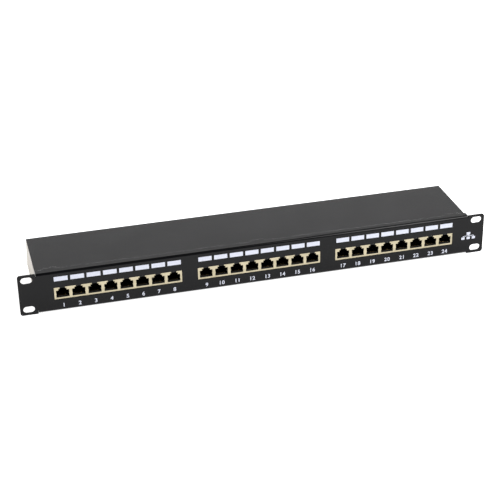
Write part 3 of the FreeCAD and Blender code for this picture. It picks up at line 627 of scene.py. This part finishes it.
@dataclass
class FacePanel:
    """Folded steel face with its prints."""

    coat: PowderCoat = field(default_factory=PowderCoat)
    ink: ScreenInk = field(default_factory=ScreenInk)
    port_pitch_mm: float = 15.8
    number_shift_mm: float = 0.25
    number_height_mm: float = 4.1
    number_middle_mm: float = -15.7
    number_swell_mm: float = 0.14
    number_spacing: float = 1.12
    ink_mm: float = 0.04
    edge_mm: float = 0.32
    flange_rear_mm: float = 6.0
    sign_x_mm: float = 224.8
    sign_z_mm: float = -1.5
    sign_stroke_mm: float = 0.6
    sign_reach_mm: float = 5.8
    sign_drop_mm: float = 1.2
    upper_box_mm: tuple[float, float] = (4.0, 3.0)
    lower_box_mm: tuple[float, float] = (3.6, 2.7)

    def build(self) -> None:
        """Dresses the face and its writing fields, and adds the numbers and the pictogram."""
        coat = self.coat.material()
        ink = self.ink.material()
        below_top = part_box("front_panel")[1].z - 0.5 * MM
        rear = self.flange_rear_mm * MM
        # The upper flange's rear edge is rounded more: it shows as a light line.
        soften("front_panel", coat, Body.CHASSIS, self.edge_mm, 3,
               lambda middle: middle.z > below_top and middle.y > rear)
        dress("label_fields", ink)
        self.print_numbers(ink)
        self.print_sign(ink)

    def face_y(self) -> float:
        """Gives the front of the steel, which is the back of the writing fields."""
        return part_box("label_fields")[1].y

    def print_numbers(self, ink: bpy.types.Material) -> None:
        """Prints 1 to 24, each below its socket, as one thin piece."""
        face = self.face_y()
        joined = bmesh.new()
        for block in BLOCKS:
            for port in range(PORTS):
                across = (port - (PORTS - 1) / 2) * self.port_pitch_mm + self.number_shift_mm
                number = self.number_mesh(str((block - 1) * PORTS + port + 1))
                place = (block_centre(block) + across * MM, face, self.number_middle_mm * MM)
                number.transform(Matrix.Translation(place))
                joined.from_mesh(number)
                bpy.data.meshes.remove(number)
        mesh = bpy.data.meshes.new("port_numbers")
        joined.to_mesh(mesh)
        joined.free()
        finish_piece("port_numbers", mesh, ink, Body.CHASSIS)

    def number_mesh(self, text: str) -> bpy.types.Mesh:
        """Makes one numeral as an upright plate, centred on the origin.

        Args:
            text: The numeral.

        Returns:
            A mesh whose back lies at zero and whose print faces -Y.
        """
        capital_share = 0.72
        curve = bpy.data.curves.new("numeral", "FONT")
        curve.body = text
        curve.size = self.number_height_mm * MM / capital_share
        curve.offset = self.number_swell_mm * MM
        curve.space_character = self.number_spacing
        curve.extrude = self.ink_mm * MM / 2
        curve.resolution_u = 4
        holder = bpy.data.objects.new("numeral", curve)
        bpy.context.scene.collection.objects.link(holder)
        graph = bpy.context.evaluated_depsgraph_get()
        mesh = bpy.data.meshes.new_from_object(holder.evaluated_get(graph))
        bpy.data.objects.remove(holder)
        bpy.data.curves.remove(curve)
        flat = np.empty(len(mesh.vertices) * 3, np.float32)
        mesh.vertices.foreach_get("co", flat)
        points = flat.reshape(-1, 3)
        middle = (points.min(0) + points.max(0)) / 2
        upright = np.stack([points[:, 0] - middle[0], -points[:, 2] - self.ink_mm * MM / 2,
                            points[:, 1] - middle[1]], axis=1)
        mesh.vertices.foreach_set("co", upright.astype(np.float32).ravel())
        mesh.update()
        return mesh

    def print_sign(self, ink: bpy.types.Material) -> None:
        """Prints a plain network sign: one box, joined by lines to three boxes below it."""
        half = self.sign_stroke_mm / 2
        reach = self.sign_reach_mm
        drop = self.sign_drop_mm
        wide, tall = self.upper_box_mm
        small_wide, small_tall = self.lower_box_mm
        bars = [
            (-wide / 2, drop, wide / 2, drop + tall),
            (-half, half, half, drop),
            (-reach - half, -half, reach + half, half),
        ]
        for x in (-reach, 0.0, reach):
            bars += [(x - half, -drop, x + half, -half),
                     (x - small_wide / 2, -drop - small_tall, x + small_wide / 2, -drop)]
        plan = np.array(bars)
        face = self.face_y() / MM
        front = np.full(len(plan), face - self.ink_mm)
        back = np.full(len(plan), face)
        low = np.stack([self.sign_x_mm + plan[:, 0], front, self.sign_z_mm + plan[:, 1]], axis=1)
        high = np.stack([self.sign_x_mm + plan[:, 2], back, self.sign_z_mm + plan[:, 3]], axis=1)
        mesh = mesh_of("network_sign", *slabs(low * MM, high * MM))
        finish_piece("network_sign", mesh, ink, Body.CHASSIS)


@dataclass
class SocketBlocks:
    """Three blocks of eight shielded sockets."""

    can: PlatedMetal = PlatedMetal("tin_plated_can", "#c3b99f", "#b1a88e", 0.36, 0.6)
    nylon: MouldedPlastic = MouldedPlastic("moulded_nylon_black", "#0c0c0d", "#090909", 0.5)
    # The gold keeps its own hue but is darkened below it: painted shade for the wires deep inside the socket
    # mouths.
    gold: PlatedMetal = PlatedMetal("gold_flashed_wire", "#b39c70", "#a0895e", 0.12, 0.3)

    def build(self) -> None:
        """Dresses each block's can, housing and wires."""
        can = self.can.material()
        nylon = self.nylon.material()
        gold = self.gold.material()
        for number in BLOCKS:
            dress(f"jack_shield_{number}", can)
            dress(f"jack_housing_{number}", nylon)
            dress(f"jack_contacts_{number}", gold)


@dataclass
class WiringDeck:
    """Boards and terminal strips inside the tray, with their traces, vias and colour code."""

    mask: SolderMask = field(default_factory=SolderMask)
    trace: SolderMask = SolderMask("solder_mask_over_copper", "#2f8457", "#28774e", 0.9)
    tin: PlatedMetal = PlatedMetal("solder_tinned_via", "#c9c9c6", "#adadaa", 0.3, 0.3)
    strip: MouldedPlastic = MouldedPlastic("moulded_polycarbonate_white", "#dedcd3", "#d1cec4", 0.4)
    clip: PlatedMetal = PlatedMetal("tin_plated_bronze_clip", "#cfcabf", "#b9b3a6", 0.3, 0.4)
    port_pitch_mm: float = 15.8
    wire_pitch_mm: float = 1.02
    clip_pitch_mm: float = 3.9
    trace_mm: float = 0.45
    trace_gap_mm: float = 1.3
    trace_start_mm: float = 19.3
    trace_end_mm: float = 31.9
    straight_start_mm: float = 2.0
    straight_end_mm: float = 3.2
    via_radius_mm: float = 0.42
    via_stagger_mm: float = 1.1
    film_mm: float = 0.03
    mark_width_mm: float = 2.1
    mark_depth_mm: float = 0.8
    mark_gap_mm: float = 0.9
    ridge_places_mm: tuple[float, float] = (38.0, 50.0)

    def build(self) -> None:
        """Dresses each board, strip and set of clips, then prints and plates them."""
        mask = self.mask.material()
        trace = self.trace.material()
        tin = self.tin.material()
        strip = self.strip.material()
        clip = self.clip.material()
        for number in BLOCKS:
            dress(f"circuit_board_{number}", mask)
            soften(f"idc_strip_{number}", strip, Body.CHASSIS, 0.12, 1)
            dress(f"idc_clips_{number}", clip)
            self.etch_traces(number, trace, tin)
        self.print_colour_code()

    def port_centres(self, number: int) -> np.ndarray:
        """Gives the middle of each socket of a block along X, in metres."""
        steps = np.arange(PORTS) - (PORTS - 1) / 2
        return block_centre(number) + steps * self.port_pitch_mm * MM

    def etch_traces(self, number: int, trace: bpy.types.Material, tin: bpy.types.Material
                    ) -> None:
        """Leads eight traces from each socket's wires to its clips, two to each clip column.

        A trace runs straight back, slants across to its column and runs straight back again.

        Args:
            number: The block's number.
            trace: Finish of the traces.
            tin: Finish of the vias.
        """
        wire = np.arange(WIRES)
        near = (wire - 3.5) * self.wire_pitch_mm * MM
        far = ((wire // 2 - 1.5) * self.clip_pitch_mm + (wire % 2 - 0.5) * self.trace_gap_mm) * MM
        along = np.array([self.trace_start_mm, self.trace_start_mm + self.straight_start_mm,
                          self.trace_end_mm - self.straight_end_mm, self.trace_end_mm]) * MM
        across = np.stack([near, near, far, far], axis=1)
        ports = self.port_centres(number)
        paths = np.empty((PORTS, WIRES, 4, 2))
        paths[..., 0] = ports[:, None, None] + across
        paths[..., 1] = along
        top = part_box(f"circuit_board_{number}")[1].z
        lanes = paths.reshape(-1, 4, 2)
        mesh = mesh_of(f"board_traces_{number}",
                       *ribbons(lanes, self.trace_mm * MM, top, top + self.film_mm * MM))
        finish_piece(f"board_traces_{number}", mesh, trace, Body.CHASSIS)
        spots = lanes[:, 1].copy()
        spots[:, 1] += (np.arange(len(spots)) % 2) * self.via_stagger_mm * MM
        mesh = mesh_of(f"board_vias_{number}",
                       *discs(spots, self.via_radius_mm * MM, top, top + 2 * self.film_mm * MM))
        finish_piece(f"board_vias_{number}", mesh, tin, Body.CHASSIS)

    def print_colour_code(self) -> None:
        """Prints each pair's colour on the crests of the strips, beside the wires' slots."""
        inks = {"blue": ("#2f62b5", "#2a57a2"), "orange": ("#e07b28", "#cf6f20"),
                "green": ("#2f9a55", "#28894a"), "brown": ("#7a4d2c", "#6c4325")}
        ridges = np.array(self.ridge_places_mm) * MM
        ports = np.concatenate([self.port_centres(number) for number in BLOCKS])
        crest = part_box("idc_strip_1")[1].z
        gap = self.mark_gap_mm * MM
        for order, (name, (colour, thin)) in enumerate(inks.items()):
            ridge = ridges[order // 2]
            column = 2 * (order % 2) + np.array([0, 1])
            x = ports[:, None] + (column - 1.5) * self.clip_pitch_mm * MM + gap
            # The first wire of a pair is striped: its mark is a third as deep.
            depth = np.array([self.mark_depth_mm / 3, self.mark_depth_mm]) * MM
            left = x.ravel()
            deep = np.tile(depth, len(ports))
            near = np.full(left.size, ridge + gap)
            low = np.stack([left, near, np.full(left.size, crest)], axis=1)
            high = low + np.stack([np.full(left.size, self.mark_width_mm * MM), deep,
                                   np.full(left.size, self.film_mm * MM)], axis=1)
            ink = ScreenInk(f"pad_print_{name}", colour, thin).material()
            mesh = mesh_of(f"pair_marks_{name}", *slabs(low, high))
            finish_piece(f"pair_marks_{name}", mesh, ink, Body.CHASSIS)


@dataclass
class SheetMetal:
    """Tray and top cover."""

    # Lighter copy of the face's black coat: painted light on the top, against painted shade on the front face.
    coat: PowderCoat = PowderCoat(name="powder_coat_black_cover", colour="#131314", cloud="#19191b")
    zinc: ZincSheet = field(default_factory=ZincSheet)
    edge_mm: float = 0.18
    sign_x_mm: float = 60.0
    sign_y_mm: float = 86.0
    sign_height_mm: float = 0.25

    def build(self) -> None:
        """Dresses the tray and the cover, and embosses the earth sign beside the stud."""
        zinc = self.zinc.material()
        soften("top_cover", self.coat.material(), Body.COVER, self.edge_mm)
        soften("tray", zinc, Body.CHASSIS, self.edge_mm)
        self.emboss_earth_sign(zinc)

    def emboss_earth_sign(self, zinc: bpy.types.Material) -> None:
        """Raises the earth sign from the floor: a stem and three bars, each shorter."""
        bars = np.array([(-0.3, 0.6, 0.3, 4.0), (-2.8, 0.0, 2.8, 0.6), (-1.8, -1.2, 1.8, -0.6),
                         (-0.8, -2.4, 0.8, -1.8)])
        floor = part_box("earth_washer")[0].z / MM
        low = np.stack([self.sign_x_mm + bars[:, 0], self.sign_y_mm + bars[:, 1],
                        np.full(4, floor)], axis=1)
        high = np.stack([self.sign_x_mm + bars[:, 2], self.sign_y_mm + bars[:, 3],
                         np.full(4, floor + self.sign_height_mm)], axis=1)
        mesh = mesh_of("earth_sign", *slabs(low * MM, high * MM))
        finish_piece("earth_sign", mesh, zinc, Body.CHASSIS)


@dataclass
class Hardware:
    """Screws, pillars and the earthing stud."""

    zinc: PlatedMetal = PlatedMetal("bright_zinc_screw", "#c5c8cc", "#aeb2b8", 0.28, 0.3)
    nickel: PlatedMetal = PlatedMetal("nickel_plated_pillar", "#cfc8b6", "#b8b09c", 0.3, 0.4)
    thread_pitch_mm: float = 0.7
    thread_depth_mm: float = 0.3
    thread_sides: int = 32
    steps_per_turn: int = 8

    def build(self) -> None:
        """Dresses every fastener and cuts the stud's thread."""
        zinc = self.zinc.material()
        for node in ("board_screws", "panel_screws", "earth_washer"):
            dress(node, zinc)
        soften("cover_screws", zinc, Body.COVER, 0.25)
        soften("earth_nut", zinc, Body.CHASSIS, 0.3)
        dress("board_pillars", self.nickel.material())
        self.cut_stud(zinc)

    def cut_stud(self, zinc: bpy.types.Material) -> None:
        """Turns the earthing stud, with a thread above its nut.

        On a grid of angle and height, the radius is the crest's less the thread's depth times
        a triangle wave of height over pitch less the angle's share of a turn. The wave fades
        in and out over half a pitch at the thread's ends, and one point closes each end.

        Args:
            zinc: The stud's finish.
        """
        low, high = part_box("earth_stud")
        nut_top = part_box("earth_nut")[1].z
        step_width = 1e-6
        crest = (high.x - low.x) / 2
        pitch = self.thread_pitch_mm * MM
        depth = self.thread_depth_mm * MM
        rows = int((high.z - nut_top) / pitch * self.steps_per_turn)
        thread = np.linspace(nut_top, high.z, rows)
        height = np.concatenate([[low.z, nut_top - step_width], thread])[:, None]
        share = (np.arange(self.thread_sides) / self.thread_sides)[None, :]
        wave = np.abs(((height / pitch - share) % 1.0) * 2 - 1)
        fade = np.clip(np.minimum(height - nut_top, high.z - height) / (pitch / 2), 0, 1)
        radius = crest - depth * (1 - fade * (1 - wave))
        centre_x, centre_y = (low.x + high.x) / 2, (low.y + high.y) / 2
        angle = 2 * math.pi * share
        grid = np.stack([centre_x + radius * np.cos(angle), centre_y + radius * np.sin(angle),
                         np.broadcast_to(height, radius.shape)], axis=-1)
        count = len(height)
        poles = np.array([[centre_x, centre_y, low.z], [centre_x, centre_y, high.z]])
        points = np.concatenate([grid.reshape(-1, 3), poles])
        sides = self.thread_sides
        here = np.arange(sides)
        after = (here + 1) % sides
        row = (np.arange(count - 1) * sides)[:, None]
        first = np.stack([row + here, row + after, row + sides + after], axis=-1)
        second = np.stack([row + here, row + sides + after, row + sides + here], axis=-1)
        bottom, top = count * sides, count * sides + 1
        last = (count - 1) * sides
        faces = np.concatenate([
            first.reshape(-1, 3), second.reshape(-1, 3),
            np.stack([after, here, np.full(sides, bottom)], axis=1),
            np.stack([last + here, last + after, np.full(sides, top)], axis=1),
        ])
        mesh = mesh_of("threaded_stud", points, faces)
        stud = finish_piece("threaded_stud", mesh, zinc, Body.CHASSIS)
        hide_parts("earth_stud")


@dataclass(frozen=True)
class Softbox:
    """One softbox: where it hangs, what it faces, its width, height and power."""

    name: str
    place: tuple[float, float, float]
    target: tuple[float, float, float]
    width: float
    height: float
    watts: float

    def hang(self) -> None:
        """Adds the light to the scene."""
        lamp = bpy.data.lights.new(self.name, "AREA")
        lamp.shape = "RECTANGLE"
        lamp.size = self.width
        lamp.size_y = self.height
        lamp.energy = self.watts
        holder = bpy.data.objects.new(self.name, lamp)
        holder.location = self.place
        aim = Vector(self.target) - Vector(self.place)
        holder.rotation_euler = aim.to_track_quat("-Z", "Y").to_euler()
        bpy.context.scene.collection.objects.link(holder)


@dataclass
class Studio:
    """Pale table, soft lights and the camera. Lengths are metres unless they end in _mm."""

    camera_place_mm: tuple[float, float, float] = (-308.33, -1174.51, 645.81)
    right: tuple[float, float, float] = (0.96685, -0.25481, -0.01649)
    ahead: tuple[float, float, float] = (0.21875, 0.85988, -0.46125)
    focal_mm: float = 98.49
    table_size: float = 8.0
    table_gap_mm: float = 0.2
    sky: float = 0.12
    lights: tuple[Softbox, ...] = (
        Softbox("back_box", (0.9, 3.2, 1.75), (0.0, 0.0, 0.0), 3.6, 3.6, 32.0),
        Softbox("low_back_strip", (0.6, 2.6, 0.3), (0.0, 0.0, 0.0), 2.4, 0.5, 32.0),
        Softbox("top_box", (0.0, 1.5, 2.3), (0.0, 0.1, 0.0), 1.8, 1.8, 24.0),
        Softbox("front_right_box", (1.45, -1.15, 1.75), (0.1, 0.0, 0.0), 1.4, 1.4, 50.0),
        Softbox("left_box", (-2.6, 0.2, 1.2), (-0.1, 0.0, 0.0), 1.6, 1.6, 5.0),
    )

    def build(self) -> None:
        """Sets the table, the lights and the camera."""
        self.lay_table()
        self.set_sky()
        for light in self.lights:
            light.hang()
        self.set_camera()
        bpy.context.scene.view_settings.view_transform = "Standard"

    def lay_table(self) -> None:
        """Lays the table top just under the object's lowest point."""
        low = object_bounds()[0][2] - self.table_gap_mm * MM
        half = self.table_size / 2
        corners = [(-half, -half, low), (half, -half, low), (half, half, low), (-half, half, low)]
        mesh = bpy.data.meshes.new("studio_table")
        mesh.from_pydata(corners, [], [(0, 1, 2, 3)])
        mesh.materials.append(LitTable().material())
        table = bpy.data.objects.new("studio_table", mesh)
        bpy.context.scene.collection.objects.link(table)
        table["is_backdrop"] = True

    def set_sky(self) -> None:
        """Fills the room with weak, even white light."""
        world = bpy.data.worlds.new("studio_sky")
        world.use_nodes = True
        sky = world.node_tree.nodes["Background"]
        sky.inputs["Color"].default_value = (1.0, 1.0, 1.0, 1.0)
        sky.inputs["Strength"].default_value = self.sky
        bpy.context.scene.world = world

    def set_camera(self) -> None:
        """Places the camera by its right and ahead directions."""
        lens = bpy.data.cameras.new("studio_camera")
        lens.lens = self.focal_mm
        lens.sensor_width = 36.0
        lens.clip_end = 50.0
        right = Vector(self.right).normalized()
        ahead = Vector(self.ahead).normalized()
        above = right.cross(ahead).normalized()
        turn = Matrix((right, above, -ahead)).transposed().to_4x4()
        holder = bpy.data.objects.new("studio_camera", lens)
        holder.matrix_world = Matrix.Translation(Vector(self.camera_place_mm) * MM) @ turn
        bpy.context.scene.collection.objects.link(holder)
        bpy.context.scene.camera = holder


def main() -> None:
    """Builds each sub-assembly in order and reports the pieces."""
    logging.basicConfig(level=logging.INFO, format="%(name)s: %(message)s")
    for assembly in (FacePanel(), SheetMetal(), SocketBlocks(), WiringDeck(), Hardware(), Studio()):
        before = set(bpy.data.objects)
        assembly.build()
        made = sorted(item.name for item in set(bpy.data.objects) - before)
        LOG.info("%s built, new objects: %s", type(assembly).__name__, made)


if __name__ == "__main__":
    main()
